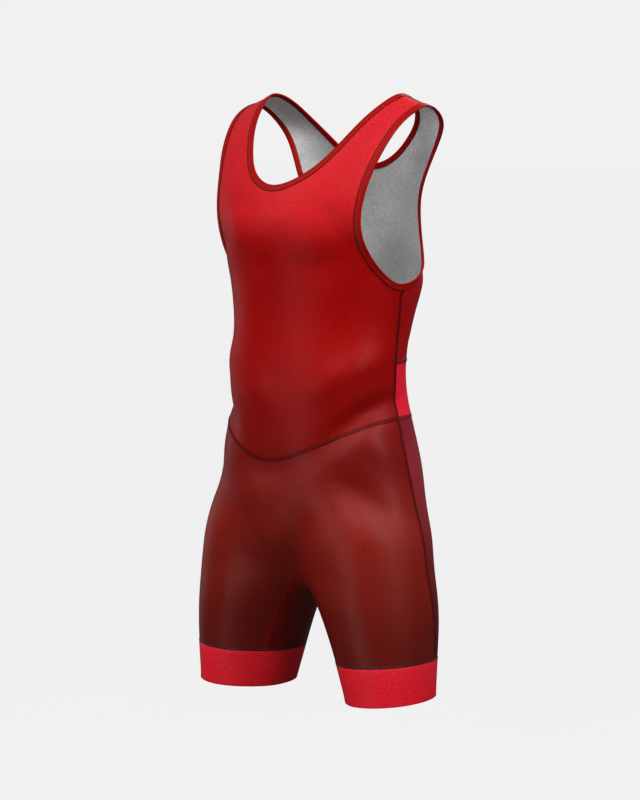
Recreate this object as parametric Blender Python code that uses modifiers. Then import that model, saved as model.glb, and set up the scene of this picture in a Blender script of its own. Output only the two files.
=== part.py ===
"""A wrestling singlet, filled out as if it were worn.

The garment is made the way its maker sews it: a front and a back body panel whose straps meet at the
shoulders, a band across the small of the back, a front and a back shorts panel, a gusset that runs from
hem to hem under the crotch, two elastic leg bands, and bindings folded over the neck and armhole edges.

All the cloth lies on one smooth form. The form is a coarse cage whose rows are the garment's own cut
lines, taken from the tables below, so that every seam is an edge of the cage. The cage is mirrored and
subdivided once, and then cut along its seams into the panels, which are given their thickness.

Metres, +Z up, +X to the wearer's left, the front facing -Y. The origin is where the wearer's shoulders
hold the garment: midway between the undersides of the straps at the shoulder seams.
"""

import math
from collections import namedtuple

import bmesh
import bpy
from mathutils import Vector
from mathutils.geometry import intersect_point_line

# Cloth and seams
CLOTH = 0.0012            # thickness of the knitted panels
BAND_CLOTH = 0.0018       # the leg bands are folded double
BINDING_CLOTH = 0.0007    # thickness of the binding tape
BINDING_WIDTH = 0.009     # how far the binding reaches in from the finished edge
BINDING_SNAP = 0.0015     # points of the form this near to the binding's border are moved onto it
BINDING_GAP = 0.0007      # clearance between the binding and the cloth that it is folded over
SEAM_GAP = 0.0003         # clearance between neighbouring pieces

# The cage
FRONT_COLUMNS = 4         # from the centre front to the side seam
BACK_COLUMNS = 4          # from the side seam to the centre back
CROTCH_COLUMNS = 3        # along the crotch line, from front to back
AXIS_Y = -0.030           # the torso's middle, which the cage's columns fan out from
SHARPEST_CORNER = 0.25    # limits how far a pointed corner of a panel is cut back (a sine)
EARLY_RISE = 0.87         # under 1, so that the waist seam rises from the centre front as a blunt V
FITTING_ROUNDS = 5        # corrections that bring the smooth surface back onto the tables' points

# Sections of the torso, from the waist seam up to the armpit. Each is a cut line round the body: its height
# and reach at the centre front, at the side seam and at the centre back, and how full it is between them.
Section = namedtuple("Section", "front_y front_z side_x side_y side_z back_y back_z full_front full_back")
TORSO = [
    Section(-0.156, -0.506, 0.138, -0.034, -0.446, 0.064, -0.446, 0.002, -0.007),  # waist seam
    Section(-0.155, -0.450, 0.131, -0.032, -0.408, 0.058, -0.408, 0.005, -0.008),
    Section(-0.153, -0.394, 0.129, -0.030, -0.369, 0.061, -0.369, 0.006, -0.007),  # top of the back band
    Section(-0.149, -0.338, 0.132, -0.029, -0.330, 0.071, -0.328, 0.000, -0.003),
    Section(-0.150, -0.286, 0.136, -0.028, -0.293, 0.081, -0.288, -0.002, 0.003),
    Section(-0.155, -0.238, 0.140, -0.027, -0.261, 0.087, -0.250, -0.002, 0.009),  # armpit
]

# Sections of the hips, from just below the waist seam down to the crotch. leg_share is how far each one
# has turned from the oval of the torso into the two rounds of the thighs.
Hip = namedtuple("Hip", "front_y front_z side_x side_y side_z back_y back_z full_front full_back leg_share")
HIPS = [
    Hip(-0.157, -0.541, 0.147, -0.034, -0.486, 0.069, -0.484, 0.004, -0.005, 0.0),
    Hip(-0.155, -0.576, 0.156, -0.030, -0.529, 0.075, -0.527, 0.002, -0.006, 0.0),
    Hip(-0.145, -0.610, 0.164, -0.029, -0.573, 0.069, -0.573, 0.012, -0.013, 0.15),
    Hip(-0.124, -0.643, 0.177, -0.028, -0.617, 0.051, -0.624, 0.018, -0.014, 0.40),
    Hip(-0.086, -0.672, 0.188, -0.020, -0.658, 0.014, -0.672, 0.016, 0.010, 1.0),  # top of the legs
]

# The crotch line under the body, from the front of the legs' top to the back of it: y and z.
CROTCH = [(-0.052, -0.686), (-0.018, -0.688)]

# Rings of the left leg: the middle, the half width across, the half depth, the angle that its long axis
# is turned outwards, and the angles of the front inseam, the side seam and the back inseam, which are
# measured round the leg from the front, outwards being positive. Angles are in degrees. The last two
# columns are how steeply the ring rises towards the outside of the leg and towards the back.
Ring = namedtuple(
    "Ring",
    "z middle_x middle_y half_width half_depth turn front_inseam side_seam back_inseam rise_out rise_back",
)
LEG = [
    Ring(-0.655, 0.100, -0.047, 0.088, 0.093, 10, -88, 104, 268, 0.00, 0.00),      # top of the legs
    Ring(-0.718, 0.111, -0.044, 0.083, 0.092, 14, -66, 110, 236, 0.03, 0.00),
    Ring(-0.787, 0.124, -0.044, 0.069, 0.082, 15, -60, 118, 230, 0.07, -0.01),     # band seam
    Ring(-0.839, 0.131, -0.044, 0.061, 0.073, 15, -60, 120, 230, 0.06, 0.02),      # hem
]

# Rows above the armpit. Each runs from the centre line or the neck edge (inner) out to the armhole edge
# (outer), and the last ones meet at the shoulder seam.
Row = namedtuple("Row", "inner_x inner_y inner_z outer_x outer_y outer_z full")
FRONT_ROWS = [
    Row(0.000, -0.160, -0.199, 0.138, -0.055, -0.252, 0.004),
    Row(0.000, -0.154, -0.161, 0.135, -0.080, -0.232, 0.005),
    Row(0.000, -0.139, -0.126, 0.130, -0.103, -0.199, 0.006),                      # bottom of the neck
    Row(0.039, -0.128, -0.112, 0.131, -0.109, -0.158, 0.003),
    Row(0.064, -0.108, -0.089, 0.137, -0.097, -0.114, 0.002),
    Row(0.084, -0.083, -0.057, 0.146, -0.080, -0.077, 0.001),
    Row(0.098, -0.056, -0.029, 0.154, -0.053, -0.042, 0.000),
    Row(0.109, -0.026, -0.008, 0.159, -0.025, -0.024, 0.000),
]
SHOULDER = Row(0.114, 0.000, 0.001, 0.159, 0.000, -0.016, 0.000)
BACK_ROWS = [
    Row(0.000, 0.090, -0.214, 0.135, 0.020, -0.248, 0.005),
    Row(0.000, 0.089, -0.177, 0.113, 0.050, -0.220, 0.004),
    Row(0.000, 0.085, -0.139, 0.104, 0.055, -0.178, 0.004),
    Row(0.000, 0.076, -0.100, 0.109, 0.050, -0.140, 0.004),                        # bottom of the neck
    Row(0.042, 0.074, -0.085, 0.122, 0.050, -0.104, 0.002),
    Row(0.072, 0.068, -0.059, 0.138, 0.053, -0.068, 0.001),
    Row(0.095, 0.055, -0.034, 0.153, 0.045, -0.041, 0.000),
    Row(0.108, 0.030, -0.010, 0.158, 0.024, -0.023, 0.000),
]

# Which stretch of the cage each panel is cut from, and the colour of its cloth
BRIGHT_RED = (0.62, 0.02, 0.04)
DEEP_RED = (0.30, 0.01, 0.01)
MAROON = (0.10, 0.008, 0.006)
PLUM = (0.16, 0.012, 0.03)
PANELS = {
    "front_body": (DEEP_RED, CLOTH),
    "back_body": (DEEP_RED, CLOTH),
    "back_waist_band": (BRIGHT_RED, CLOTH),
    "front_shorts": (MAROON, CLOTH),
    "back_shorts": (PLUM, CLOTH),
    "crotch_gusset": (MAROON, CLOTH),
    "leg_band": (BRIGHT_RED, BAND_CLOTH),
}
BAND_TOP_ROW = 2          # the torso section where the back band ends


def clear_scene():
    for obj in list(bpy.data.objects):
        bpy.data.objects.remove(obj)


def cloth_material(name, colour):
    material = bpy.data.materials.new(name)
    material.use_nodes = True
    shader = material.node_tree.nodes["Principled BSDF"]
    shader.inputs["Base Color"].default_value = (*colour, 1.0)
    shader.inputs["Roughness"].default_value = 0.6
    shader.inputs["Metallic"].default_value = 0.0
    return material


def fan(inner, outer, columns, full, ease):
    """Points of a row from inner to outer, fanned round the torso's middle. ease says how the reach and the
    height pass from one end to the other, and full how far the row bulges between them."""
    ends = []
    for point in (inner, outer):
        x, forward = point[0], AXIS_Y - point[1]
        ends.append((math.atan2(x, forward), math.hypot(x, forward), point[2]))
    (angle_0, reach_0, z_0), (angle_1, reach_1, z_1) = ends
    row = []
    for column in range(columns + 1):
        t = column / columns
        eased = ease(t)
        angle = angle_0 + (angle_1 - angle_0) * t
        reach = reach_0 + (reach_1 - reach_0) * eased + full * math.sin(math.pi * t) ** 2
        z = z_0 + (z_1 - z_0) * eased
        row.append(Vector((reach * math.sin(angle), AXIS_Y - reach * math.cos(angle), z)))
    return row


def level_at_both_ends(t):
    return math.sin(math.pi / 2 * t ** EARLY_RISE) ** 2


def level_at_the_centre(t):
    return 1 - math.cos(math.pi * t / 2)


def straight(t):
    return t


def half_round(section):
    """A torso or hip section as one row, from the centre front round the side seam to the centre back."""
    side = (section.side_x, section.side_y, section.side_z)
    centre_front = (0, section.front_y, section.front_z)
    centre_back = (0, section.back_y, section.back_z)
    front = fan(centre_front, side, FRONT_COLUMNS, section.full_front, level_at_both_ends)
    back = fan(centre_back, side, BACK_COLUMNS, section.full_back, level_at_both_ends)
    return front + back[::-1][1:]


def panel_row(row, columns):
    ease = level_at_the_centre if row.inner_x == 0 else straight
    return fan(row[0:3], row[3:6], columns, row.full, ease)


def on_ring(ring, degrees):
    """The point of a leg ring at this angle round it from the front, outwards being positive."""
    facing = math.radians(degrees - ring.turn)
    turn = math.radians(ring.turn)
    across = ring.half_width * math.sin(facing)
    forward = ring.half_depth * math.cos(facing)
    x = ring.middle_x + across * math.cos(turn) + forward * math.sin(turn)
    y = ring.middle_y - forward * math.cos(turn) + across * math.sin(turn)
    rise = (x - ring.middle_x) * ring.rise_out + (y - ring.middle_y) * ring.rise_back
    return Vector((x, y, ring.z + rise))


def leg_row(ring):
    """A leg ring as a closed row: front inseam, side seam, back inseam, and along the inner leg back to the
    start."""
    stretches = [
        (ring.front_inseam, ring.side_seam, FRONT_COLUMNS),
        (ring.side_seam, ring.back_inseam, BACK_COLUMNS),
        (ring.back_inseam, ring.front_inseam + 360, CROTCH_COLUMNS),
    ]
    return [
        on_ring(ring, start + (end - start) * column / columns)
        for start, end, columns in stretches
        for column in range(columns)
    ]


def hip_row(hip):
    """A hip section, blended towards the top ring of the leg. Its ends stay on the centre line."""
    torso, leg = half_round(hip), leg_row(LEG[0])[: FRONT_COLUMNS + BACK_COLUMNS + 1]
    row = [torso[0]]
    for own, ring in zip(torso[1:-1], leg[1:-1]):
        target = Vector((ring.x, ring.y, own.z))
        row.append(own.lerp(target, hip.leg_share))
    return row + [torso[-1]]


def left_half_cage():
    """The left half of the garment as a coarse mesh, open on the centre line. Each face's material index
    says which panel it belongs to."""
    cage = bmesh.new()
    index = {name: number for number, name in enumerate(PANELS)}

    def points(row):
        return [cage.verts.new(point) for point in row]

    def strip(lower, upper, panel, closed=False):
        count = len(lower) if closed else len(lower) - 1
        for i in range(count):
            j = (i + 1) % len(lower)
            face = cage.faces.new((lower[i], lower[j], upper[j], upper[i]))
            face.material_index = index[panel]

    # Torso, from the waist seam to the armpit
    rounds = [points(half_round(section)) for section in TORSO]
    for number, (lower, upper) in enumerate(zip(rounds, rounds[1:])):
        strip(lower[: FRONT_COLUMNS + 1], upper[: FRONT_COLUMNS + 1], "front_body")
        panel = "back_waist_band" if number < BAND_TOP_ROW else "back_body"
        strip(lower[FRONT_COLUMNS:], upper[FRONT_COLUMNS:], panel)

    # Chest, back and straps, from the armpit over the shoulder
    shoulder = points(panel_row(SHOULDER, FRONT_COLUMNS))
    front = [rounds[-1][: FRONT_COLUMNS + 1]]
    front += [points(panel_row(row, FRONT_COLUMNS)) for row in FRONT_ROWS] + [shoulder]
    back = [rounds[-1][FRONT_COLUMNS:][::-1]]
    back += [points(panel_row(row, BACK_COLUMNS)) for row in BACK_ROWS] + [shoulder]
    for lower, upper in zip(front, front[1:]):
        strip(lower, upper, "front_body")
    for lower, upper in zip(back, back[1:]):
        strip(upper, lower, "back_body")

    # Hips, from the waist seam down to the top of the legs
    hips = [rounds[0]] + [points(hip_row(hip)) for hip in HIPS]
    for upper, lower in zip(hips, hips[1:]):
        strip(lower[: FRONT_COLUMNS + 1], upper[: FRONT_COLUMNS + 1], "front_shorts")
        strip(lower[FRONT_COLUMNS:], upper[FRONT_COLUMNS:], "back_shorts")

    # Legs. The top ring is the lowest hip row closed by the crotch line.
    crotch = points([(0, y, z) for y, z in reversed(CROTCH)])
    legs = [hips[-1] + crotch] + [points(leg_row(ring)) for ring in LEG[1:]]
    side, inseam = FRONT_COLUMNS, FRONT_COLUMNS + BACK_COLUMNS
    for upper, lower in zip(legs[:-1], legs[1:-1]):
        strip(lower[: side + 1], upper[: side + 1], "front_shorts")
        strip(lower[side : inseam + 1], upper[side : inseam + 1], "back_shorts")
        strip(lower[inseam:] + lower[:1], upper[inseam:] + upper[:1], "crotch_gusset")
    strip(legs[-1], legs[-2], "leg_band", closed=True)

    mesh = bpy.data.meshes.new("cage")
    cage.to_mesh(mesh)
    cage.free()
    return mesh


def evaluated_mesh(obj):
    graph = bpy.context.evaluated_depsgraph_get()
    graph.update()
    return bpy.data.meshes.new_from_object(obj.evaluated_get(graph))


def smooth_form(helpers):
    """The whole garment as one smooth surface through the tables' points."""
    cage = left_half_cage()
    form = bpy.data.objects.new("form", cage)
    form.hide_render = True
    form.display_type = "WIRE"
    helpers.objects.link(form)
    mirror = form.modifiers.new("other half", "MIRROR")
    mirror.merge_threshold = 0.0001
    smooth = form.modifiers.new("smooth", "SUBSURF")
    smooth.levels = smooth.render_levels = 1
    wanted = [vert.co.copy() for vert in cage.vertices]
    for _ in range(FITTING_ROUNDS):
        surface = evaluated_mesh(form)
        for number, target in enumerate(wanted):
            cage.vertices[number].co += target - surface.vertices[number].co
            if target.x == 0:
                cage.vertices[number].co.x = 0
        bpy.data.meshes.remove(surface)
    return evaluated_mesh(form)


def into_the_panel(vert):
    """The step in the surface from this vertex of an edge into the cloth. It is so long that it ends a
    distance of one from the edge on both sides of the vertex, even at a corner."""
    one, other = (
        (edge.other_vert(vert).co - vert.co).normalized() for edge in vert.link_edges if edge.is_boundary
    )
    middle = sum((face.calc_center_median() for face in vert.link_faces), Vector()) / len(vert.link_faces)
    inward = middle - vert.co
    inward -= inward.project(one - other)
    inward -= inward.project(vert.normal)
    inward.normalize()
    return inward / max(inward.cross(one).length, SHARPEST_CORNER)


def open_edges(surface):
    """The form's free edges, each as a ring of vertices in order."""
    left = [edge for edge in surface.edges if edge.is_boundary]
    rings = []
    while left:
        first, at = left.pop(0).verts
        ring = [first]
        while at is not first:
            ring.append(at)
            edge = next(e for e in at.link_edges if e in left)
            left.remove(edge)
            at = edge.other_vert(at)
        rings.append(ring)
    return rings


def nearest_on_ring(corners, point):
    """The point of a closed line of straight stretches that lies nearest to this point."""
    best = None
    for start, end in zip(corners, corners[1:] + corners[:1]):
        foot, along = intersect_point_line(point, start, end)
        foot = start.lerp(end, min(max(along, 0.0), 1.0))
        if best is None or (foot - point).length < (best - point).length:
            best = foot
    return best


def mark_binding(surface, ring, mark, layer):
    """Draws the border of a binding on the form, BINDING_WIDTH in from a free edge, as edges of its own,
    and marks the faces between the two."""
    corners = [vert.co.copy() for vert in ring]
    reach = {}
    for vert in surface.verts:
        foot = nearest_on_ring(corners, vert.co)
        reach[vert] = (vert.co - foot).length
        if abs(reach[vert] - BINDING_WIDTH) < BINDING_SNAP:
            vert.co = foot + (vert.co - foot).normalized() * BINDING_WIDTH
            reach[vert] = BINDING_WIDTH
    border = {vert for vert, distance in reach.items() if distance == BINDING_WIDTH}
    for edge in list(surface.edges):
        near, far = sorted(edge.verts, key=reach.get)
        if reach[near] < BINDING_WIDTH < reach[far]:
            share = (BINDING_WIDTH - reach[near]) / (reach[far] - reach[near])
            _, vert = bmesh.utils.edge_split(edge, near, share)
            reach[vert] = BINDING_WIDTH
            border.add(vert)
    for face in list(surface.faces):
        ends = [vert for vert in face.verts if vert in border]
        beyond = any(reach[vert] > BINDING_WIDTH for vert in face.verts)
        within = any(reach[vert] < BINDING_WIDTH for vert in face.verts)
        if beyond and within:
            bmesh.utils.face_split(face, ends[0], ends[1])
    for face in surface.faces:
        if max(reach[vert] for vert in face.verts) <= BINDING_WIDTH:
            face[layer] = mark


def cut_panel(surface, name, number, side, parts):
    """One panel of the form, cut back by half a seam gap at its seams, and further where a binding folds
    over its edge, and then given its thickness. side keeps only one of a pair: +1 is the wearer's left."""
    colour, thickness = PANELS[name]
    panel = surface.copy()
    marked = panel.faces.layers.int["binding"]
    bound = {
        vert for edge in panel.edges if edge.is_boundary and edge.link_faces[0][marked]
        for vert in edge.verts
    }
    fold = {vert: max(edge.calc_face_angle(0.0) for edge in vert.link_edges) for vert in panel.verts}
    others = [
        face for face in panel.faces
        if face.material_index != number or side * face.calc_center_median().x < 0
    ]
    bmesh.ops.delete(panel, geom=others, context="FACES")
    panel.normal_update()
    moves = {}
    for vert in panel.verts:
        if vert.is_boundary:
            trim = SEAM_GAP / 2 + thickness * math.tan(fold[vert] / 2)
            if vert in bound:
                trim = BINDING_CLOTH + BINDING_GAP
            moves[vert] = into_the_panel(vert) * trim
    for vert, move in moves.items():
        vert.co += move
    for face in panel.faces:
        face.material_index = 0
    node = name if side == 0 else f"{name}_{'left' if side > 0 else 'right'}"
    cloth_object(node, panel, colour, thickness, parts)


def cloth_object(name, surface, colour, thickness, parts):
    """A piece of cloth with this surface in the middle of its thickness."""
    mesh = bpy.data.meshes.new(name)
    surface.to_mesh(mesh)
    surface.free()
    mesh.shade_smooth()
    mesh.materials.append(cloth_material(name, colour))
    obj = bpy.data.objects.new(name, mesh)
    parts.objects.link(obj)
    wall = obj.modifiers.new("wall", "SOLIDIFY")
    wall.thickness = thickness
    wall.offset = 0
    wall.use_even_offset = True


def binding(surface, name, mark, parts):
    """A tape folded over a free edge of the form. Its two legs are the marked faces, moved out to the
    outside and the inside of the cloth, and the fold joins them along the edge."""
    marked = surface.faces.layers.int["binding"]
    zone = [face for face in surface.faces if face[marked] == mark]
    lift = CLOTH / 2 + BINDING_GAP + BINDING_CLOTH / 2
    tape = bmesh.new()
    legs = []
    covered = [vert for vert in surface.verts if any(face[marked] == mark for face in vert.link_faces)]
    for side in (1, -1):
        leg = {vert: tape.verts.new(vert.co + vert.normal * lift * side) for vert in covered}
        for face in zone:
            tape.faces.new([leg[vert] for vert in list(face.verts)[::side]])
        legs.append(leg)
    outside, inside = legs
    for loop in (loop for face in zone for loop in face.loops if loop.edge.is_boundary):
        start, end = loop.vert, loop.link_loop_next.vert
        tape.faces.new((outside[end], outside[start], inside[start], inside[end]))
    cloth_object(name, tape, DEEP_RED, BINDING_CLOTH, parts)


def main():
    clear_scene()
    parts = bpy.data.collections.new("wrestling_singlet")
    helpers = bpy.data.collections.new("helpers")
    for collection in (parts, helpers):
        bpy.context.scene.collection.children.link(collection)

    form = smooth_form(helpers)
    surface = bmesh.new()
    surface.from_mesh(form)
    bpy.data.meshes.remove(form)
    marked = surface.faces.layers.int.new("binding")
    bindings = []
    for ring in open_edges(surface):
        middle = sum((vert.co for vert in ring), Vector()) / len(ring)
        if middle.z < CROTCH[0][1]:
            continue
        side = "left" if middle.x > 0 else "right"
        bindings.append("neck_binding" if abs(middle.x) < BINDING_WIDTH else f"armhole_binding_{side}")
        mark_binding(surface, ring, len(bindings), marked)
    zones = [face for face in surface.faces if face[marked]]
    bmesh.ops.triangulate(surface, faces=zones)
    surface.normal_update()

    for number, name in enumerate(PANELS):
        for side in (1, -1) if name == "leg_band" else (0,):
            cut_panel(surface, name, number, side, parts)
    for mark, name in enumerate(bindings, start=1):
        binding(surface, name, mark, parts)
    surface.free()


main()
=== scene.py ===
# %% [markdown]
# # A wrestling singlet, filled out as if worn
# A singlet is sewn from a thin, stretchy polyester and elastane knit that is printed on the outside only.
# Its panels are joined by flatlock seams, its neck and armholes are bound with a folded tape, and its legs
# end in elastic bands. The construction file gives the cut at its real size, so this script loads it first,
# and takes every place from it.

# %% Load the construction
import math

import bmesh
import bpy
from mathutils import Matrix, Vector
from mathutils.bvhtree import BVHTree
from mathutils.interpolate import poly_3d_calc


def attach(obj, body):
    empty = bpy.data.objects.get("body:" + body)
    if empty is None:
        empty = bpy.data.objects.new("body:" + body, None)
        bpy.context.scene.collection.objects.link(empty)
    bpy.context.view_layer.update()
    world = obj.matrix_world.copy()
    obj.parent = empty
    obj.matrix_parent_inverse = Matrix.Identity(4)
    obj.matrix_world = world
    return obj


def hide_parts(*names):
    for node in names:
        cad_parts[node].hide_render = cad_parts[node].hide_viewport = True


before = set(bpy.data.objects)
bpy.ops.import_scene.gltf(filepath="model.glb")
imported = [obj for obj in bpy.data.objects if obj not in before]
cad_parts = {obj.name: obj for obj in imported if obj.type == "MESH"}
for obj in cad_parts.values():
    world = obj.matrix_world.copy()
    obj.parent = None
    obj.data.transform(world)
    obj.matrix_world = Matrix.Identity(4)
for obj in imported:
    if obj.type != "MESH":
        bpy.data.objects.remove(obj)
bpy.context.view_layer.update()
bpy.ops.object.select_all(action="DESELECT")

# %% [markdown]
# The camera comes first, because every later choice is judged through it. It stands to the wearer's left
# of the front, and far away with a long lens, so that the garment keeps its proportions. It is level with
# the shoulders and aims at the middle of the garment, so it looks slightly down.

# %% Camera
AIM = Vector((0.0012, -0.0410, -0.4288))    # the middle of the garment
CAMERA_TURN = math.radians(40)              # round from the front, towards the wearer's left
CAMERA_REACH = 4.2
CAMERA_HEIGHT = 0.0                         # level with the shoulders
LENS = 135.0

camera = bpy.data.objects.new("camera", bpy.data.cameras.new("camera"))
bpy.context.scene.collection.objects.link(camera)
camera.location = (
    AIM.x + CAMERA_REACH * math.sin(CAMERA_TURN),
    AIM.y - CAMERA_REACH * math.cos(CAMERA_TURN),
    CAMERA_HEIGHT,
)
camera.rotation_euler = (AIM - camera.location).to_track_quat("-Z", "Y").to_euler()
camera.data.lens = LENS
bpy.context.scene.camera = camera
print("camera at", [round(value, 2) for value in camera.location])

# %% [markdown]
# Cloth is thin, so it is modelled as a surface first and given its thickness last. The construction's
# panels are closed walls, so each one is copied, its loose triangles are welded, and only the side that
# faces out is kept. That side is found by its spread: its faces point away from a spot high in the chest,
# while the wall's inner side points towards it, and its rim is narrow. The gusset has two such sides, one
# for each leg, because it is folded sharply along the crotch.

# %% The outer side of each panel
PANELS = [
    "front_body", "back_body", "back_waist_band", "front_shorts", "back_shorts", "crotch_gusset",
    "leg_band_left", "leg_band_right",
]
CHEST = Vector((0.0, -0.04, -0.30))
WELD = 0.00001                              # points of a wall nearer than this are one point
RIM_ANGLE = math.radians(50)                # the wall turns by more than this at its rim, and nowhere else


def sides_of_a_wall(wall):
    """The faces of a welded wall in groups that its sharp rim divides."""
    left = set(wall.faces)
    groups = []
    for start in wall.faces:
        if start not in left:
            continue
        left.discard(start)
        group, edge_of_group = [], [start]
        while edge_of_group:
            face = edge_of_group.pop()
            group.append(face)
            for edge in face.edges:
                if edge.calc_face_angle(math.pi) < RIM_ANGLE:
                    for neighbour in edge.link_faces:
                        if neighbour in left:
                            left.discard(neighbour)
                            edge_of_group.append(neighbour)
        groups.append(group)
    return groups


def spread(faces):
    return sum(face.calc_area() * face.normal.dot(face.calc_center_median() - CHEST) for face in faces)


skin = bmesh.new()
panel_of = skin.faces.layers.int.new("panel")
for number, name in enumerate(PANELS):
    wall = bmesh.new()
    wall.from_mesh(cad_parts[name].data)
    bmesh.ops.remove_doubles(wall, verts=wall.verts, dist=WELD)
    wall.normal_update()
    sides = sides_of_a_wall(wall)
    widest = max(spread(side) for side in sides)
    outer = [face for side in sides if spread(side) > widest / 3 for face in side]
    corner = {vert: skin.verts.new(vert.co) for vert in {v: None for face in outer for v in face.verts}}
    for face in outer:
        skin.faces.new([corner[vert] for vert in face.verts])[panel_of] = number
    wall.free()
    print(f"{name}: {len(outer)} faces on the outer side")

# %% [markdown]
# The panels stop a fraction of a millimetre short of each other, as their construction needs. The real
# seams hold them edge to edge, so the open edges are welded across those gaps, and the whole garment
# becomes one skin. Its triangles are joined to quads, which a subdivision surface rounds more evenly, and
# a few rounds of smoothing even out what is left of the facets.

# %% One smooth skin
SEAM_REACH = 0.004                          # the widest gap at a seam, at the sharp fold of the crotch
SMOOTHING_ROUNDS = 12

bmesh.ops.remove_doubles(skin, verts=[v for v in skin.verts if v.is_boundary], dist=SEAM_REACH)
skin_mesh = bpy.data.meshes.new("skin")
skin.to_mesh(skin_mesh)
skin.free()
skin_object = bpy.data.objects.new("skin", skin_mesh)
bpy.context.scene.collection.objects.link(skin_object)
bpy.context.view_layer.objects.active = skin_object
skin_object.select_set(True)

bpy.ops.object.mode_set(mode="EDIT")
edit = bmesh.from_edit_mesh(skin_mesh)
panel_of = edit.faces.layers.int["panel"]
for edge in edit.edges:
    edge.seam = len({face[panel_of] for face in edge.link_faces}) > 1
bmesh.update_edit_mesh(skin_mesh)
bpy.ops.mesh.select_all(action="SELECT")
QUAD_ANGLE = math.radians(60)               # two triangles that differ by less than this make a quad
bpy.ops.mesh.tris_convert_to_quads(face_threshold=QUAD_ANGLE, shape_threshold=QUAD_ANGLE, seam=True)
bpy.ops.object.mode_set(mode="OBJECT")
rounder = skin_object.modifiers.new("rounder", "SUBSURF")
rounder.levels = rounder.render_levels = 2
bpy.ops.object.modifier_apply(modifier=rounder.name)

bpy.ops.object.mode_set(mode="EDIT")
bpy.ops.mesh.select_all(action="DESELECT")
edit = bmesh.from_edit_mesh(skin_mesh)
for vert in edit.verts:
    vert.select_set(not vert.is_boundary)
bmesh.update_edit_mesh(skin_mesh)
bpy.ops.mesh.vertices_smooth(factor=0.5, repeat=SMOOTHING_ROUNDS)
bpy.ops.object.mode_set(mode="OBJECT")
print("skin:", len(skin_mesh.vertices), "points,", len(skin_mesh.polygons), "faces")

# %% [markdown]
# Stretched knit shows few creases, and they are soft: broad troughs where the body bends, at the waist,
# the hips and under the chest, with low ridges between them. Each is given as a line across the cloth
# through three points, with its own width and depth, and the skin is moved along its normals. A negative
# depth is a trough. The troughs of the two sides are alike but not the same.

# %% Creases and swells
FOLDS = [
    # name, start, middle, end, half width, depth
    ("under the left chest",
     (0.045, -0.153, -0.230), (0.088, -0.131, -0.230), (0.120, -0.098, -0.214), 0.024, -0.0045),
    ("under the right chest",
     (-0.080, -0.138, -0.222), (-0.035, -0.152, -0.234), (0.020, -0.156, -0.230), 0.022, -0.0025),
    ("left chest",
     (0.012, -0.152, -0.165), (0.040, -0.150, -0.162), (0.075, -0.138, -0.160), 0.020, 0.0026),
    ("right chest",
     (-0.098, -0.126, -0.155), (-0.068, -0.142, -0.168), (-0.040, -0.151, -0.174), 0.018, 0.0028),
    ("above the left waist",
     (0.129, -0.037, -0.360), (0.106, -0.107, -0.378), (0.052, -0.147, -0.424), 0.021, 0.0050),
    ("left waist",
     (0.133, -0.020, -0.420), (0.117, -0.096, -0.444), (0.068, -0.142, -0.497), 0.018, -0.0100),
    ("belly",
     (-0.050, -0.146, -0.388), (-0.006, -0.155, -0.414), (0.036, -0.153, -0.450), 0.026, 0.0040),
    ("front of the hips",
     (0.060, -0.146, -0.500), (0.004, -0.155, -0.513), (-0.056, -0.146, -0.494), 0.022, -0.0035),
    ("right waist",
     (-0.134, -0.024, -0.402), (-0.110, -0.104, -0.430), (-0.062, -0.143, -0.478), 0.017, -0.0065),
    ("above the right waist",
     (-0.128, -0.040, -0.350), (-0.108, -0.104, -0.366), (-0.070, -0.140, -0.390), 0.020, 0.0035),
    ("left hip",
     (0.112, -0.112, -0.452), (0.140, -0.076, -0.484), (0.158, -0.050, -0.528), 0.022, 0.0050),
    ("left hip crease",
     (0.086, -0.136, -0.508), (0.131, -0.101, -0.553), (0.160, -0.060, -0.598), 0.020, -0.0075),
    ("below the left hip crease",
     (0.104, -0.136, -0.582), (0.143, -0.111, -0.596), (0.166, -0.078, -0.610), 0.022, 0.0030),
    ("right hip",
     (-0.122, -0.092, -0.462), (-0.144, -0.054, -0.492), (-0.157, -0.050, -0.540), 0.018, 0.0035),
    ("right hip crease",
     (-0.096, -0.125, -0.486), (-0.122, -0.108, -0.524), (-0.144, -0.094, -0.570), 0.013, -0.0055),
    ("lap",
     (-0.062, -0.150, -0.540), (-0.022, -0.156, -0.551), (0.020, -0.156, -0.535), 0.022, 0.0030),
    ("left groin",
     (0.060, -0.150, -0.560), (0.040, -0.140, -0.618), (0.010, -0.106, -0.668), 0.021, -0.0095),
    ("right groin",
     (-0.040, -0.150, -0.574), (-0.026, -0.138, -0.622), (-0.010, -0.104, -0.666), 0.014, -0.0030),
    ("left thigh",
     (0.128, -0.131, -0.600), (0.135, -0.129, -0.661), (0.132, -0.131, -0.735), 0.028, 0.0030),
    ("right thigh",
     (-0.077, -0.143, -0.600), (-0.092, -0.134, -0.680), (-0.103, -0.127, -0.752), 0.026, 0.0030),
    ("left back waist",
     (0.112, 0.014, -0.352), (0.078, 0.046, -0.344), (0.026, 0.064, -0.350), 0.010, -0.0026),
    ("right back waist",
     (-0.116, 0.010, -0.346), (-0.070, 0.050, -0.352), (-0.010, 0.066, -0.362), 0.011, -0.0030),
    ("middle of the back",
     (0.004, 0.084, -0.190), (0.002, 0.084, -0.250), (-0.002, 0.074, -0.330), 0.016, -0.0040),
    ("left seat crease",
     (0.030, 0.036, -0.640), (0.080, 0.048, -0.652), (0.140, 0.034, -0.640), 0.013, -0.0040),
    ("right seat crease",
     (-0.028, 0.036, -0.644), (-0.074, 0.048, -0.660), (-0.128, 0.038, -0.652), 0.012, -0.0036),
    ("left back of the thigh",
     (0.080, 0.040, -0.712), (0.116, 0.046, -0.718), (0.160, 0.026, -0.708), 0.009, -0.0018),
    ("right back of the thigh",
     (-0.070, 0.040, -0.722), (-0.110, 0.046, -0.730), (-0.150, 0.032, -0.724), 0.008, -0.0020),
]
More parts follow.
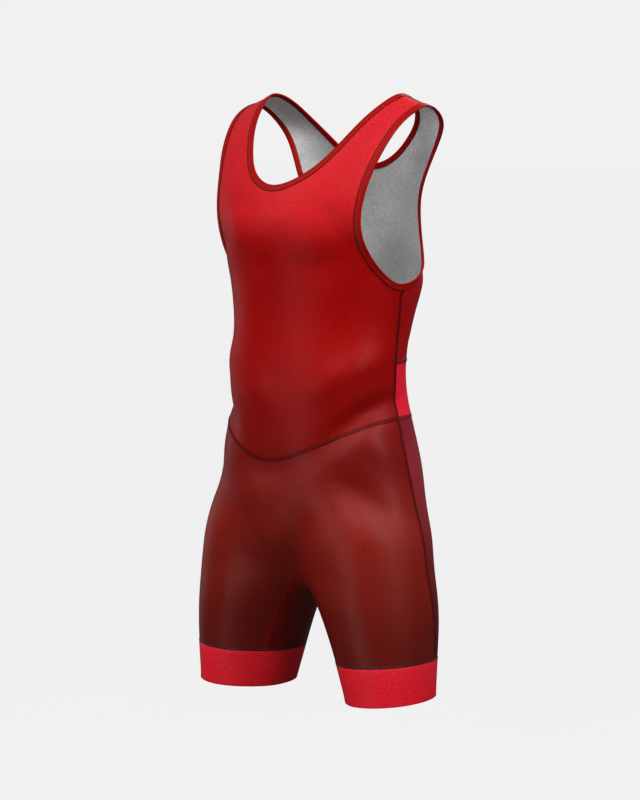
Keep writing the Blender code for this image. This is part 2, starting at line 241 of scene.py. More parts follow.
STEPS_ALONG = 16                            # parts that a fold's line is divided into


def along_fold(start, middle, end):
    """Points of a smooth line from start to end that passes through middle halfway."""
    start, middle, end = Vector(start), Vector(middle), Vector(end)
    pull = 2 * middle - (start + end) / 2
    steps = [step / STEPS_ALONG for step in range(STEPS_ALONG + 1)]
    return [start * (1 - t) ** 2 + pull * 2 * t * (1 - t) + end * t ** 2 for t in steps]


moves = [0.0] * len(skin_mesh.vertices)
for name, start, middle, end, half_width, depth in FOLDS:
    line = along_fold(start, middle, end)
    for vert in skin_mesh.vertices:
        if (vert.co - line[STEPS_ALONG // 2]).length > (line[-1] - line[0]).length + 3 * half_width:
            continue
        away, step = min(((vert.co - point).length, step) for step, point in enumerate(line))
        fade = math.sin(math.pi * (step + 1) / (STEPS_ALONG + 2))
        moves[vert.index] += depth * fade * math.exp(-((away / half_width) ** 2))
normals = [vert.normal.copy() for vert in skin_mesh.vertices]
for vert, normal, move in zip(skin_mesh.vertices, normals, moves):
    vert.co += normal * move
skin_mesh.update()
print(f"{len(FOLDS)} folds, from {min(moves) * 1000:.1f} to {max(moves) * 1000:.1f} mm")

# %% [markdown]
# A material is a small tree of shader nodes. One helper adds a node with its settings and its inputs, and
# one turns the sRGB hex value of a colour, as a dyer's card would give it, into the linear light values
# that the shader works with.

# %% Helpers for materials
def linear(hex_colour):
    channels = [int(hex_colour[place:place + 2], 16) / 255 for place in (1, 3, 5)]
    return [c / 12.92 if c <= 0.04045 else ((c + 0.055) / 1.055) ** 2.4 for c in channels] + [1.0]


def add_node(material, kind, inputs=None, stops=None, **settings):
    """Adds a shader node. An input is a value, or a socket to link from; stops are a colour ramp's."""
    made = material.node_tree.nodes.new(kind)
    for setting, value in settings.items():
        setattr(made, setting, value)
    for place, value in (inputs or {}).items():
        if isinstance(value, bpy.types.NodeSocket):
            material.node_tree.links.new(value, made.inputs[place])
        else:
            made.inputs[place].default_value = value
    for number, (position, colour) in enumerate(stops or []):
        element = made.color_ramp.elements[number] if number < 2 else made.color_ramp.elements.new(position)
        element.position = position
        element.color = linear(colour)
    return made


def new_material(name, **shader_values):
    material = bpy.data.materials.new(name)
    material.use_nodes = True
    shader = material.node_tree.nodes["Principled BSDF"]
    for place, value in shader_values.items():
        shader.inputs[place.replace("_", " ")].default_value = value
    return material, shader

# %% [markdown]
# The panels, the seams and the bindings all lie on the folded skin, so it is kept as the one ground that
# they are laid on. A search tree finds the nearest place on it, and the normals of the corners there are
# blended, so that a tape laid on the skin is as smooth as the skin looks.

# %% Ground for the seams
ground = bmesh.new()
ground.from_mesh(skin_mesh)
ground.faces.ensure_lookup_table()
ground.normal_update()
ground_tree = BVHTree.FromBMesh(ground)
panel_of = ground.faces.layers.int["panel"]


def on_ground(point):
    """The nearest place on the skin, and the smooth normal there."""
    place, _, number, _ = ground_tree.find_nearest(point)
    corners = ground.faces[number].verts
    shares = poly_3d_calc([corner.co for corner in corners], place)
    normal = Vector()
    for corner, share in zip(corners, shares):
        normal += corner.normal * share
    return place, normal.normalized()


def in_order(edges):
    """The unbroken lines that the edges make, each as a list of points. A loop ends where it starts."""
    meeting = {}
    for edge in edges:
        for vert in edge.verts:
            meeting.setdefault(vert, []).append(edge)
    unused = set(edges)
    lines = []
    for start in sorted(meeting, key=lambda vert: len(meeting[vert]) == 2):
        for edge in meeting[start]:
            line = [start]
            while edge in unused:
                unused.discard(edge)
                line.append(edge.other_vert(line[-1]))
                edge = next((other for other in meeting[line[-1]] if other in unused), edge)
            if len(line) > 2:
                lines.append([vert.co.copy() for vert in line])
    return lines


# %% [markdown]
# A seam follows the edges of the skin's faces, which are a little ragged. Its line is divided into even
# steps, a stitch long, and evened out, and at each step a small frame says where it is, which way is across
# the seam, and which way is up from the cloth.

# %% Steps along a seam
STITCH = 0.0024                             # length of a stitch, a little coarser than the real 2 mm
EVENING = 8                                 # rounds in which each point moves towards its neighbours


def evened(line, closed):
    lengths = [0.0]
    for here, there in zip(line, line[1:]):
        lengths.append(lengths[-1] + (there - here).length)
    count = round(lengths[-1] / STITCH)
    points, piece = [], 0
    for number in range(count if closed else count + 1):
        along = lengths[-1] * number / count
        while lengths[piece + 1] < along and piece < len(line) - 2:
            piece += 1
        part = (along - lengths[piece]) / max(lengths[piece + 1] - lengths[piece], 1e-9)
        points.append(line[piece].lerp(line[piece + 1], part))
    for _ in range(EVENING):
        points = [
            point if not closed and number in (0, count)
            else (points[number - 1] + 2 * point + points[(number + 1) % len(points)]) / 4
            for number, point in enumerate(points)
        ]
    return points


def frames_along(line, closed=False):
    """At each step: the place on the cloth, the way across the seam and the way up."""
    points = evened(line, closed)
    frames = []
    for number, point in enumerate(points):
        before = points[number - 1] if closed or number else point
        after = points[(number + 1) % len(points)] if closed or number < len(points) - 1 else point
        place, up = on_ground(point)
        frames.append((place, (after - before).cross(up).normalized(), up))
    return frames


# %% [markdown]
# A tape is a closed section carried along such frames. Each corner of the section is set down on the cloth
# at its own distance across the seam, so a wide tape bends over the body as cloth does. Beyond an open edge
# of the cloth there is no ground, and the section goes straight on. Its UV map is in metres, along and
# across, for the materials.

# %% A tape
def tape_along(frames, section, closed, edge_at=1.0):
    tape = bmesh.new()
    uv = tape.loops.layers.uv.new("tape")
    rings = []
    for place, across, up in frames:
        ring = []
        for sideways, height in section:
            on_cloth = min(sideways, edge_at)
            spot, lift = on_ground(place + across * on_cloth)
            ring.append(tape.verts.new(spot + lift * height + across * (sideways - on_cloth)))
        rings.append(ring)
    corners = len(section)
    for number in range(len(rings) if closed else len(rings) - 1):
        ring, following = rings[number], rings[(number + 1) % len(rings)]
        for corner in range(corners):
            beside = (corner + 1) % corners
            face = tape.faces.new((ring[corner], ring[beside], following[beside], following[corner]))
            steps = (number, number, number + 1, number + 1)
            for loop, step, which in zip(face.loops, steps, (corner, beside, beside, corner)):
                loop[uv].uv = (step * STITCH, section[which][0])
    if not closed:
        tape.faces.new(rings[0])
        tape.faces.new(reversed(rings[-1]))
    bmesh.ops.recalc_face_normals(tape, faces=tape.faces)
    for face in tape.faces:
        face.smooth = True
    return tape


# %% [markdown]
# A stitch is a short, thick loop of thread lying on the cloth. One is modelled from a sphere of few faces,
# squashed flat underneath, and is then copied along the seams, each copy stretched to its length and
# turned to its place. Thousands of them are joined to the tape that they hold, in its second material.

# %% A stitch
bpy.ops.mesh.primitive_uv_sphere_add(segments=6, ring_count=4, radius=1.0, rotation=(0.0, math.pi / 2, 0.0))
stitch = bpy.context.object
bpy.ops.object.transform_apply(location=True, rotation=True, scale=True)
for vert in stitch.data.vertices:
    vert.co.z = max(vert.co.z, -0.4)
stitch_corners = [vert.co.copy() for vert in stitch.data.vertices]
stitch_faces = [tuple(face.vertices) for face in stitch.data.polygons]
bpy.data.objects.remove(stitch, do_unlink=True)
print("one stitch:", len(stitch_corners), "points,", len(stitch_faces), "faces")


def sew(tape, frames, sideways, height, length, width, turn=0.0, every=1, edge_at=1.0):
    """Lays a stitch at every frame, turned from the seam by an angle that changes side each time if asked."""
    uv = tape.loops.layers.uv["tape"]
    for number, (place, across, up) in enumerate(frames):
        if number % every:
            continue
        spot, lift = on_ground(place + across * min(sideways, edge_at))
        along = lift.cross(across).normalized()
        side = along.cross(lift)
        lean = turn if number // every % 2 else -turn
        forward = along * math.cos(lean) + side * math.sin(lean)
        beside = lift.cross(forward)
        centre = spot + lift * height
        verts = [
            tape.verts.new(
                centre + forward * corner.x * length / 2 + beside * corner.y * width / 2
                + lift * corner.z * width / 2
            )
            for corner in stitch_corners
        ]
        for corners in stitch_faces:
            face = tape.faces.new([verts[corner] for corner in corners])
            face.material_index = 1
            face.smooth = True
            for loop in face.loops:
                loop[uv].uv = (number * STITCH, sideways)


def finished_piece(name, builder, materials):
    mesh = bpy.data.meshes.new(name)
    builder.to_mesh(mesh)
    builder.free()
    for material in materials:
        mesh.materials.append(material)
    piece = bpy.data.objects.new(name, mesh)
    bpy.context.scene.collection.objects.link(piece)
    return piece


# %% [markdown]
# Polyester knit is printed on its face by sublimation, so its colour is in the yarn and stays satin, and
# the back of the cloth stays near white. The print runs from a bright red at the shoulders to a dark
# red-brown at the legs, so the colour is read from the height on the garment. Fine horizontal streaks come
# from the courses of the knit. Real courses are about 0.5 mm high, too fine to show from this far, so the
# relief draws them 0.9 mm high, and the streaks of colour are 2 mm high and 5 mm long.

# %% Printed knit
HEM_LEVEL = -0.86
TOP_LEVEL = 0.02


def printed_knit(name, stops, roughness=0.44, shine=0.2):
    """A knit whose colour changes with height. Each stop is a level in metres and an sRGB colour."""
    knit, shader = new_material(name, Roughness=roughness, Specular_IOR_Level=shine)
    place = add_node(knit, "ShaderNodeTexCoord")
    axes = add_node(knit, "ShaderNodeSeparateXYZ", {0: place.outputs["Object"]})
    level = add_node(knit, "ShaderNodeMapRange", {
        "Value": axes.outputs["Z"], "From Min": HEM_LEVEL, "From Max": TOP_LEVEL,
    })
    ramp_stops = [((stop - HEM_LEVEL) / (TOP_LEVEL - HEM_LEVEL), colour) for stop, colour in stops]
    dye = add_node(knit, "ShaderNodeValToRGB", {"Fac": level.outputs["Result"]}, stops=ramp_stops)
    stretched = add_node(knit, "ShaderNodeMapping", {
        "Vector": place.outputs["Object"], "Scale": (210.0, 210.0, 520.0),
    })
    streaks = add_node(knit, "ShaderNodeTexNoise", {
        "Vector": stretched.outputs["Vector"], "Scale": 1.0, "Detail": 5.0, "Roughness": 0.65,
    })
    patches = add_node(knit, "ShaderNodeTexNoise", {
        "Vector": place.outputs["Object"], "Scale": 22.0, "Detail": 3.0,
    })
    uneven = add_node(knit, "ShaderNodeMath", {
        0: patches.outputs["Fac"], 1: 0.15, 2: streaks.outputs["Fac"],
    }, operation="MULTIPLY_ADD")
    shade = add_node(knit, "ShaderNodeMapRange", {
        "Value": uneven.outputs["Value"], "From Min": 0.175, "From Max": 0.975, "To Min": 0.6, "To Max": 1.4,
    })
    tone = add_node(knit, "ShaderNodeMix", {
        "Factor": 1.0, 6: dye.outputs["Color"], 7: shade.outputs["Result"],
    }, data_type="RGBA", blend_type="MULTIPLY")
    courses = add_node(knit, "ShaderNodeTexWave", {
        "Vector": place.outputs["Object"], "Scale": 340.0,
        "Distortion": 2.5, "Detail": 2.0, "Detail Scale": 2.0,
    }, bands_direction="Z")
    relief = add_node(knit, "ShaderNodeMath", {
        0: courses.outputs["Fac"], 1: streaks.outputs["Fac"],
    }, operation="ADD")
    bump = add_node(knit, "ShaderNodeBump", {
        "Height": relief.outputs["Value"], "Strength": 0.3, "Distance": 0.0003,
    })
    gloss = add_node(knit, "ShaderNodeMapRange", {
        "Value": streaks.outputs["Fac"], "From Min": 0.3, "From Max": 0.7,
        "To Min": roughness - 0.06, "To Max": roughness + 0.08,
    })
    knit.node_tree.links.new(tone.outputs[2], shader.inputs["Base Color"])
    knit.node_tree.links.new(gloss.outputs["Result"], shader.inputs["Roughness"])
    knit.node_tree.links.new(bump.outputs["Normal"], shader.inputs["Normal"])
    return knit


# The lighter, browner stop at -0.60 is partly the brown of the print and partly a painted highlight, the
# satin shine of the thighs.
front_knit = printed_knit("sublimation printed knit, red to dark red-brown", [
    (-0.84, "#601008"), (-0.74, "#74150a"), (-0.60, "#88180d"), (-0.50, "#82110a"), (-0.42, "#8c0903"),
    (-0.34, "#a00301"), (-0.24, "#9c0102"), (-0.20, "#a20405"), (-0.165, "#c0171f"), (0.01, "#be262f"),
])
# Its lighter, browner stop at -0.60 is partly the brown of the print and partly a painted highlight where the
# thighs catch the light.
shorts_front_knit = printed_knit("sublimation printed knit, dark red to red-brown", [
    (-0.84, "#64180e"), (-0.74, "#70190d"), (-0.60, "#8a2014"), (-0.50, "#780d06"), (-0.42, "#8a0803"),
    (-0.34, "#9e0301"),
], shine=0.28)
back_knit = printed_knit("sublimation printed knit, deep red of the back", [
    (-0.42, "#a8060c"), (-0.30, "#a6060a"), (-0.20, "#ac060e"), (-0.10, "#bc0a18"), (0.01, "#d82034"),
])
shorts_back_knit = printed_knit("sublimation printed knit, plum to dark red-brown", [
    (-0.84, "#480c0c"), (-0.72, "#641414"), (-0.60, "#802228"), (-0.52, "#902a36"), (-0.44, "#80182a"),
], shine=0.24)
bright_knit = printed_knit("sublimation printed knit, bright red of the waist band", [
    (-0.50, "#dc1c38"), (-0.30, "#e0203c"),
])
band_knit = printed_knit("elastic knit of the leg bands, bright red", [
    (-0.86, "#d82030"), (-0.815, "#e02636"), (-0.79, "#e42a3a"),
], roughness=0.5)
# The back of the cloth is an even light grey; its darker stop at -0.09 is painted shade, and its whiter stop
# at -0.03, at the top of the straps, is painted light.
inner_knit = printed_knit("unprinted back of the knit, light grey", [
    (-0.86, "#cecece"), (-0.16, "#cecece"), (-0.09, "#b8b8b8"), (-0.03, "#f0f0f0"),
], roughness=0.75)
print("knits:", [material.name for material in bpy.data.materials])

# %% [markdown]
# The bindings are a smooth tape, dyed dark red, folded round the raw edge and held by a coverstitch close
# to its inner border, along which a painted shadow marks where the tape steps down. The seams are the knit
# itself, felled flat, with painted shade as a darker edge on each side where the cloth steps down, so both
# materials read how far across the tape a point is.

# %% Binding tape, seams and thread
def tape_knit(name, stops, roughness=0.5):
    """A knit tape whose colour changes across it. Each stop is a distance across in metres and a colour."""
    knit, shader = new_material(name, Roughness=roughness, Specular_IOR_Level=0.15)
    place = add_node(knit, "ShaderNodeUVMap", uv_map="tape")
    axes = add_node(knit, "ShaderNodeSeparateXYZ", {0: place.outputs["UV"]})
    first, last = stops[0][0], stops[-1][0]
    across = add_node(knit, "ShaderNodeMapRange", {
        "Value": axes.outputs["Y"], "From Min": first, "From Max": last,
    })
    ramp_stops = [((stop - first) / (last - first), colour) for stop, colour in stops]
    dye = add_node(knit, "ShaderNodeValToRGB", {"Fac": across.outputs["Result"]}, stops=ramp_stops)
    stretched = add_node(knit, "ShaderNodeMapping", {
        "Vector": place.outputs["UV"], "Scale": (500.0, 1400.0, 1.0),
    })
    yarn = add_node(knit, "ShaderNodeTexNoise", {
        "Vector": stretched.outputs["Vector"], "Scale": 1.0, "Detail": 3.0,
    })
    shade = add_node(knit, "ShaderNodeMapRange", {
        "Value": yarn.outputs["Fac"], "From Min": 0.3, "From Max": 0.7, "To Min": 0.82, "To Max": 1.15,
    })
    tone = add_node(knit, "ShaderNodeMix", {
        "Factor": 1.0, 6: dye.outputs["Color"], 7: shade.outputs["Result"],
    }, data_type="RGBA", blend_type="MULTIPLY")
    bump = add_node(knit, "ShaderNodeBump", {
        "Height": yarn.outputs["Fac"], "Strength": 0.3, "Distance": 0.0003,
    })
    knit.node_tree.links.new(tone.outputs[2], shader.inputs["Base Color"])
    knit.node_tree.links.new(bump.outputs["Normal"], shader.inputs["Normal"])
    return knit


def sewing_thread(name, colour):
    """Textured polyester thread, which has a fine twist and a soft shine."""
    thread, shader = new_material(name, Roughness=0.55)
    shader.inputs["Specular IOR Level"].default_value = 0.3
    place = add_node(thread, "ShaderNodeTexCoord")
    twist = add_node(thread, "ShaderNodeTexNoise", {
        "Vector": place.outputs["Object"], "Scale": 900.0, "Detail": 2.0,
    })
    lit = [channel * 1.3 for channel in linear(colour)[:3]] + [1.0]
    dark = [channel * 0.6 for channel in linear(colour)[:3]] + [1.0]
    tone = add_node(thread, "ShaderNodeMix", {
        "Factor": twist.outputs["Fac"], 6: dark, 7: lit,
    }, data_type="RGBA")
    bump = add_node(thread, "ShaderNodeBump", {
        "Height": twist.outputs["Fac"], "Strength": 0.4, "Distance": 0.0002,
    })
    thread.node_tree.links.new(tone.outputs[2], shader.inputs["Base Color"])
    thread.node_tree.links.new(bump.outputs["Normal"], shader.inputs["Normal"])
    return thread


# The near-black stops at the inner border are a painted shadow where the tape steps down onto the cloth; the
# brownish stop beside them is the coverstitch.
binding_knit = tape_knit("binding tape of polyester knit, dark red", [
    (-0.0092, "#380001"), (-0.0080, "#7c0306"), (-0.0068, "#94140f"), (-0.0046, "#980809"),
    (-0.0010, "#9c050a"), (0.0002, "#9c080e"), (0.0013, "#96080e"),
])
# The darkest stops, at both edges of each seam, are painted shade where the strip steps down onto the cloth.
upper_seam_knit = tape_knit("felled seam of the waist, dark red", [
    (-0.0028, "#3c0402"), (-0.0020, "#720b06"), (0.0, "#7c0f08"), (0.0020, "#720b06"), (0.0028, "#2c0200"),
])
band_seam_knit = tape_knit("felled seam of the waist band, plum", [
    (-0.0030, "#500410"), (-0.0018, "#8c1028"), (0.0, "#94142c"), (0.0018, "#8c1028"), (0.0030, "#500410"),
])
side_seam_knit = tape_knit("felled side seam, plum", [
    (-0.0030, "#1c0001"), (-0.0020, "#480a0c"), (0.0, "#641416"), (0.0020, "#641416"), (0.0030, "#3c0608"),
])
leg_seam_knit = tape_knit("felled seam of a leg band, dark", [
    (-0.0030, "#0c0000"), (-0.0018, "#2c0809"), (0.0, "#40100f"), (0.0018, "#2c0809"), (0.0030, "#0c0000"),
])
inseam_knit = tape_knit("felled inseam, red", [
    (-0.0030, "#4a0408"), (-0.0018, "#a00c18"), (0.0, "#6a0208"), (0.0018, "#a00c18"), (0.0030, "#4a0408"),
])
binding_thread = sewing_thread("polyester thread, brick red", "#a04030")
dark_thread = sewing_thread("polyester thread, dark red", "#260202")
plum_thread = sewing_thread("polyester thread, plum", "#600a1c")
side_thread = sewing_thread("polyester thread, dark plum", "#4c0c0e")
leg_thread = sewing_thread("polyester thread, dusty rose", "#a86c70")
inseam_thread = sewing_thread("polyester thread, red", "#a81822")
print("threads:", [material.name for material in bpy.data.materials if "thread" in material.name])

# %% [markdown]
# Every seam but the bindings is a flatlock: the two cloths lie edge to edge, a felled strip covers them,
# and stitches cross it in a zigzag, with a straight row of needle stitches at each border. The zigzag is
# drawn about twice as coarse as the real one, so that its stitches show. The seams differ in how much the
# thread shows. A seam is found as the edges where two panels meet.

# %% Flatlock seams
FLATLOCK = [(-0.5, -0.0004), (-0.5, 0.0001), (-0.42, 0.00032), (-0.2, 0.00040), (0.0, 0.00042),
            (0.2, 0.00040), (0.42, 0.00032), (0.5, 0.0001), (0.5, -0.0004)]
SEAMS = [
    # piece, panels on one side, panels on the other, width, cloth, thread, width of the thread
    ("side_seams", {"front_body", "front_shorts"}, {"back_body", "back_waist_band", "back_shorts"},
     0.0054, side_seam_knit, side_thread, 0.00045),
    ("shoulder_seams", {"front_body"}, {"back_body"}, 0.0044, upper_seam_knit, binding_thread, 0.0004),
    ("waist_seam", {"front_body"}, {"front_shorts"}, 0.0054, upper_seam_knit, dark_thread, 0.0012),
    ("back_band_seams", {"back_body", "back_shorts"}, {"back_waist_band"},
     0.0056, band_seam_knit, plum_thread, 0.0006),
    ("inseams", {"front_shorts", "back_shorts"}, {"crotch_gusset"},
     0.0054, inseam_knit, inseam_thread, 0.00055),
    ("leg_band_seams", {"front_shorts", "back_shorts", "crotch_gusset"}, {"leg_band_left", "leg_band_right"},
     0.0058, leg_seam_knit, leg_thread, 0.00065),
]


def lines_between(some, others):
    edges = []
    for edge in ground.edges:
        names = [PANELS[face[panel_of]] for face in edge.link_faces]
        if len(names) == 2 and {names[0] in some, names[1] in some} == {True, False}:
            if names[0] in others or names[1] in others:
                edges.append(edge)
    return in_order(edges)


ZIGZAG_REACH = 0.70                         # of the seam's width
ZIGZAG_LEAN = math.radians(66)
ZIGZAG_EVERY = 2                            # steps from one zigzag stitch to the next
NEEDLE_ROW = 0.40                           # of the seam's width, out from its middle
NEEDLE_LENGTH = 0.9 * STITCH
NEEDLE_THREAD = 0.0005
SHOULDER_LEVEL = -0.05                      # the seams between front and back above this cross the straps
seam_pieces = {}
for name, some, others, width, cloth, thread, thick in SEAMS:
    joined, length = bmesh.new(), 0.0
    joined.loops.layers.uv.new("tape")
    for line in lines_between(some, others):
        if (line[0].z > SHOULDER_LEVEL) != (name == "shoulder_seams"):
            continue
        closed = (line[0] - line[-1]).length < 1e-6
        frames = frames_along(line, closed)
        tape = tape_along(frames, [(width * part, height) for part, height in FLATLOCK], closed)
        sew(tape, frames, 0.0, 0.00040, ZIGZAG_REACH * width, thick, turn=ZIGZAG_LEAN, every=ZIGZAG_EVERY)
        for row in (-NEEDLE_ROW, NEEDLE_ROW):
            sew(tape, frames, row * width, 0.00036, NEEDLE_LENGTH, NEEDLE_THREAD)
        length += len(frames) * STITCH
        part = bpy.data.meshes.new("part")
        tape.to_mesh(part)
        tape.free()
        joined.from_mesh(part)
        bpy.data.meshes.remove(part)
    seam_pieces[name] = finished_piece(name, joined, [cloth, thread])
    print(f"{name}: {length:.2f} m, {len(seam_pieces[name].data.polygons)} faces")

# %% [markdown]
# The neck and the two armholes are bound: a tape is folded round the raw edge, so it shows for 9 mm outside
# and 7 mm inside, with a round fold between. Its section is drawn once, as a fold with a shallow groove
# where the coverstitch pulls it down, and carried round each opening. The way across is checked first, so
# that the fold stands outside the edge of the cloth and not on it.

# %% Bindings
FOLD = [
    (-0.0090, -0.0001), (-0.0090, 0.00045), (-0.0085, 0.00075), (-0.0077, 0.00078), (-0.0070, 0.00058),
    (-0.0062, 0.00078), (-0.0040, 0.00090), (-0.0015, 0.00090), (0.0002, 0.00082), (0.0010, 0.00040),
    (0.0013, -0.0003), (0.0012, -0.0011), (0.0006, -0.0018), (-0.0004, -0.0021), (-0.0030, -0.0020),
    (-0.0064, -0.0019), (-0.0070, -0.0016), (-0.0070, -0.0009), (-0.0035, -0.0009), (0.0, -0.0009),
    (0.0, -0.0001), (-0.0045, -0.0001),
]
COVERSTITCH = [
    # across from the edge, up from the cloth
    (-0.0070, 0.00072), (-0.0046, 0.00092), (-0.0052, -0.0020),
]
EDGE_OF_GROUND = -0.0003                    # beyond this there is no cloth to lie on
PROBE = 0.005
STILL_ON_CLOTH = 0.002                      # a probe that lands further away than this is on the cloth
openings = {}
for line in in_order([edge for edge in ground.edges if edge.is_boundary]):
    middle = sum(line, Vector()) / len(line)
    if middle.z > -0.10:
        openings["neck_binding_tape"] = line
    elif middle.z > -0.40:
        openings["armhole_binding_tape_left" if middle.x > 0 else "armhole_binding_tape_right"] = line

binding_pieces = {}
for name, line in openings.items():
    frames = frames_along(line, closed=True)
    place, across, _ = frames[0]
    if (on_ground(place + across * PROBE)[0] - place).length > STILL_ON_CLOTH:
        frames = frames_along(list(reversed(line)), closed=True)
    tape = tape_along(frames, FOLD, closed=True, edge_at=EDGE_OF_GROUND)
    for sideways, height in COVERSTITCH:
        sew(tape, frames, sideways, height, 0.85 * STITCH, 0.0006, edge_at=EDGE_OF_GROUND)
    binding_pieces[name] = finished_piece(name, tape, [binding_knit, binding_thread])
    print(f"{name}: {len(frames) * STITCH:.2f} m, {len(binding_pieces[name].data.polygons)} faces")

# %% [markdown]
# Each panel is now separated from the skin and given its thickness. Solidify grows it inwards, and puts the
# unprinted side in a second material. A leg band is folded double and stands a little proud of the shorts,
# and a bevel rounds its fold at the hem.

# %% Panels
CLOTH = 0.0010
DOUBLE_CLOTH = 0.0021
KNIT_OF = {
    "front_body": front_knit, "back_body": back_knit, "back_waist_band": bright_knit,
    "front_shorts": shorts_front_knit, "back_shorts": shorts_back_knit, "crotch_gusset": front_knit,
    "leg_band_left": band_knit, "leg_band_right": band_knit,
}
panels = {}
for number, name in enumerate(PANELS):
    bpy.ops.object.select_all(action="DESELECT")
    bpy.context.view_layer.objects.active = skin_object
    skin_object.select_set(True)
    bpy.ops.object.mode_set(mode="EDIT")
    edit = bmesh.from_edit_mesh(skin_mesh)
    which = edit.faces.layers.int["panel"]
    bpy.ops.mesh.select_all(action="DESELECT")
    for face in edit.faces:
        face.select_set(face[which] == number)
    bmesh.update_edit_mesh(skin_mesh)
    bpy.ops.mesh.separate(type="SELECTED")
    bpy.ops.object.mode_set(mode="OBJECT")
    panel = next(thing for thing in bpy.context.selected_objects if thing is not skin_object)
    panel.name = panel.data.name = name + "_cloth"
    panel.data.materials.append(KNIT_OF[name])
    panel.data.materials.append(band_knit if "leg_band" in name else inner_knit)
    bpy.ops.object.select_all(action="DESELECT")
    panel.select_set(True)
    bpy.context.view_layer.objects.active = panel
    wall = panel.modifiers.new("wall", "SOLIDIFY")
    wall.thickness = DOUBLE_CLOTH if "leg_band" in name else CLOTH
    wall.offset = -0.45 if "leg_band" in name else -1.0
    wall.use_even_offset = True
    wall.material_offset = 1
    bpy.ops.object.modifier_apply(modifier=wall.name)
    if "leg_band" in name:
        hem = panel.modifiers.new("folded hem", "BEVEL")
        hem.width = 0.0009
        hem.segments = 3
        hem.angle_limit = math.radians(60)
        bpy.ops.object.modifier_apply(modifier=hem.name)
    bpy.ops.object.shade_smooth_by_angle(angle=math.radians(50))
    panels[name] = panel
    print(f"{panel.name}: {len(panel.data.polygons)} faces")
bpy.data.objects.remove(skin_object, do_unlink=True)

# %% [markdown]
# Each piece stands for the solids of its panel, which are hidden, and moves with the one body. The table
# gives the size of each cut, though nothing here uses it: the knit is worn stretched, by about a twelfth
# in area, so its cut is smaller than it.

# %% What each piece is
CUTS = [
    # panel, width, length, flat area, slot, seams and bindings on it
    ("front_body", 0.36, 0.55, 0.140, "upper_knit", ["waist_seam", "side_seams", "shoulder_seams"]),
    ("back_body", 0.32, 0.45, 0.091, "upper_knit", []),
    ("back_waist_band", 0.30, 0.11, 0.025, "bright_knit", ["back_band_seams"]),
    ("front_shorts", 0.56, 0.44, 0.144, "shorts_knit", []),
    ("back_shorts", 0.52, 0.44, 0.127, "shorts_knit", []),
    ("crotch_gusset", 0.34, 0.12, 0.023, "shorts_knit", ["inseams"]),
    ("leg_band_left", 0.40, 0.056, 0.0216, "leg_band_knit", ["leg_band_seams"]),
    ("leg_band_right", 0.40, 0.056, 0.0216, "leg_band_knit", []),
]
BOUND_NODES = {
    "neck_binding_tape": "neck_binding", "armhole_binding_tape_left": "armhole_binding_left",
    "armhole_binding_tape_right": "armhole_binding_right",
}
for name, node in BOUND_NODES.items():
    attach(binding_pieces[name], "root")
    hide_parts(node)
for piece in seam_pieces.values():
    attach(piece, "root")
for name, width, length, area, slot, seams in CUTS:
    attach(panels[name], "root")
    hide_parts(name)
    with_pieces = [seam_pieces[seam] for seam in seams]
    if name == "front_body":
        with_pieces += list(binding_pieces.values())
print("sheets:", len(CUTS))

# %% [markdown]
# A plain pale floor lies well below the garment, so far down that no marked shadow falls on it, under a
# pale surround of the same tone. Both look bright, as a lit paper sweep does, but shine little on the
# garment: a Light Path node tells what is seen from what only lights something. That keeps the deep,
# clean shades of the cloth, which a bright surround on all sides would wash out.

# %% Floor and surround
FLOOR_LEVEL = -1.9
bpy.ops.object.select_all(action="DESELECT")
bpy.ops.mesh.primitive_plane_add(size=120.0, location=(0.0, 0.0, FLOOR_LEVEL))
floor = bpy.context.object
floor.name = "floor"
bpy.ops.object.transform_apply(location=True, rotation=True, scale=True)
paper, shader = new_material("matt paper sweep, near white", Roughness=0.9)
place = add_node(paper, "ShaderNodeTexCoord")
fibre = add_node(paper, "ShaderNodeTexNoise", {
    "Vector": place.outputs["Object"], "Scale": 3.0, "Detail": 2.0,
})
tone = add_node(paper, "ShaderNodeValToRGB", {
    "Fac": fibre.outputs["Fac"],
}, stops=[(0.3, "#585858"), (0.7, "#5c5c5c")])
seen = add_node(paper, "ShaderNodeLightPath")
glow = add_node(paper, "ShaderNodeMapRange", {
    "Value": seen.outputs["Is Camera Ray"], "To Min": 0.04, "To Max": 0.79,
})
paper.node_tree.links.new(tone.outputs["Color"], shader.inputs["Base Color"])
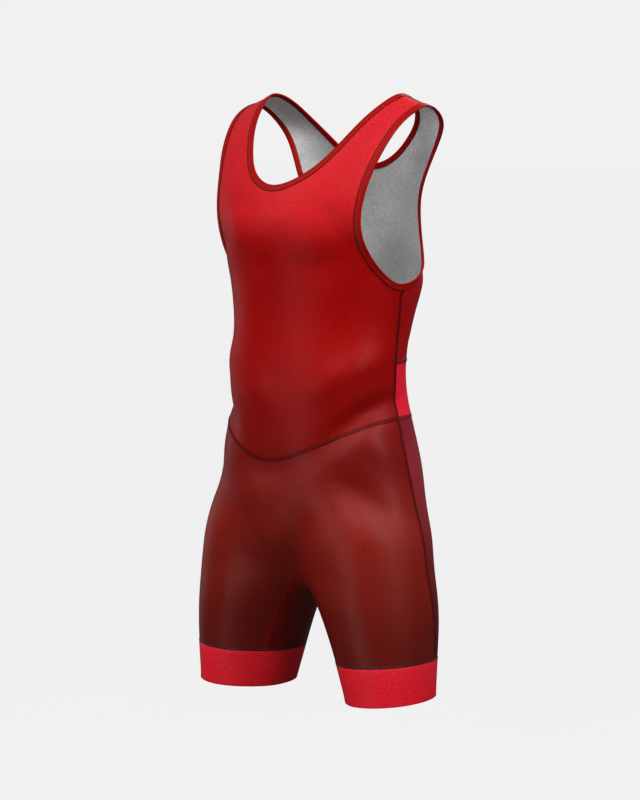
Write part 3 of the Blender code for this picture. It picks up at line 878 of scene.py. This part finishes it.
paper.node_tree.links.new(glow.outputs["Result"], shader.inputs["Emission Strength"])
shader.inputs["Emission Color"].default_value = linear("#f1f1f1")
floor.data.materials.append(paper)

surround = bpy.data.worlds.new("pale surround")
surround.use_nodes = True
backdrop = surround.node_tree.nodes["Background"]
backdrop.inputs["Color"].default_value = linear("#f1f1f1")
seen = add_node(surround, "ShaderNodeLightPath")
glow = add_node(surround, "ShaderNodeMapRange", {
    "Value": seen.outputs["Is Camera Ray"], "To Min": 0.24, "To Max": 0.84,
})
surround.node_tree.links.new(glow.outputs["Result"], backdrop.inputs["Strength"])
bpy.context.scene.world = surround
bpy.context.scene.view_settings.view_transform = "Standard"
bpy.context.scene.view_settings.look = "Medium High Contrast"
print("floor", -FLOOR_LEVEL, "m below the shoulders")

# %% [markdown]
# The light is plain and soft, from six softboxes that all aim at the middle of the garment. The strongest
# hangs high in front, for the straps and the chest. Two weaker ones, in front at the wearer's right and
# low down, give the satin shine on the belly and the thighs. One at the wearer's left lights the hip and
# the side. A faint one at the right lifts the far outline, and one behind lights the back.

# %% Light
def softbox(name, place, width, height, watts, colour="#ffffff"):
    light = bpy.data.objects.new(name, bpy.data.lights.new(name, "AREA"))
    bpy.context.scene.collection.objects.link(light)
    light.data.shape = "RECTANGLE"
    light.data.size = width
    light.data.size_y = height
    light.data.energy = watts
    light.data.color = linear(colour)[:3]
    light.location = place
    light.rotation_euler = (AIM - light.location).to_track_quat("-Z", "Y").to_euler()
    return light


softbox("top softbox", (1.05, -1.5, 2.2), 1.2, 1.2, 48.0)
softbox("front softbox", (-1.3, -2.0, 1.3), 0.9, 0.9, 20.0)
softbox("low softbox", (0.0, -2.4, -1.0), 0.9, 0.6, 13.0)
softbox("left softbox", (2.5, 0.2, 1.2), 0.8, 1.2, 42.0)
softbox("right softbox", (-2.5, 0.3, -0.7), 0.8, 1.0, 2.0)
softbox("back softbox", (-0.6, 2.6, 1.2), 1.2, 1.2, 26.0)

# %% [markdown]
# Last, the copy of the skin that the seams and bindings were laid on is freed.

# %% Finish
ground.free()
